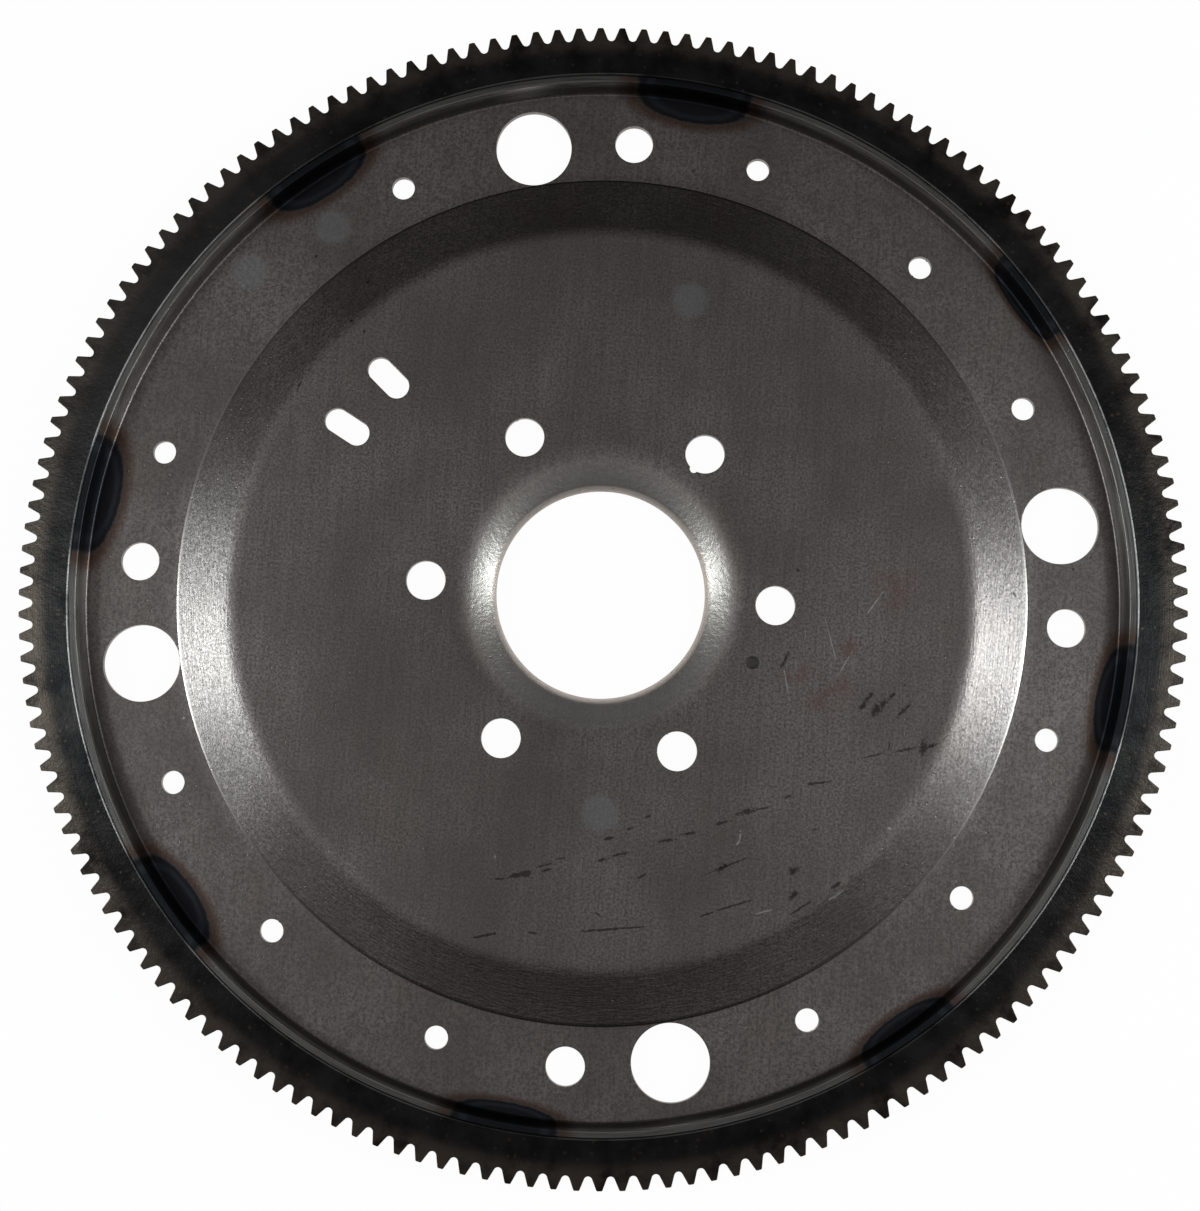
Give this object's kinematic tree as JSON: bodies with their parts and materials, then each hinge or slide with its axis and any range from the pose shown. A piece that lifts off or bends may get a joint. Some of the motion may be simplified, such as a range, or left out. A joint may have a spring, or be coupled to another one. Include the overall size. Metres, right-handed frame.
{
  "type": "flexplate",
  "caption": "Dished stamped steel disc with a toothed starter ring welded round its upturned rim, joining an engine's crankshaft to a torque converter.",
  "frame": {"origin": "on the crankshaft's axis, level with the lowest point of the weld beads, which is the surface that the part rests on", "axes": "+Z along the crankshaft's axis, towards the side that the rim flange rises to; +X through a converter bolt hole"},
  "size_m": [0.3606, 0.3606, 0.0115],
  "materials": {
    "plate_steel": "bare rolled steel, dull and faintly streaked, heat-tinted black at the welds",
    "ring_steel": "hardened, with a black-brown oxide",
    "weld_steel": "rippled weld metal, blued by heat"
  },
  "bodies": {
    "root": {"stamped_plate": "plate_steel", "ring_gear": "ring_steel", "weld_bead_1": "weld_steel", "weld_bead_2": "weld_steel", "weld_bead_3": "weld_steel", "weld_bead_4": "weld_steel", "weld_bead_5": "weld_steel", "weld_bead_6": "weld_steel", "weld_bead_7": "weld_steel", "weld_bead_8": "weld_steel"}
  },
  "joints": []
}
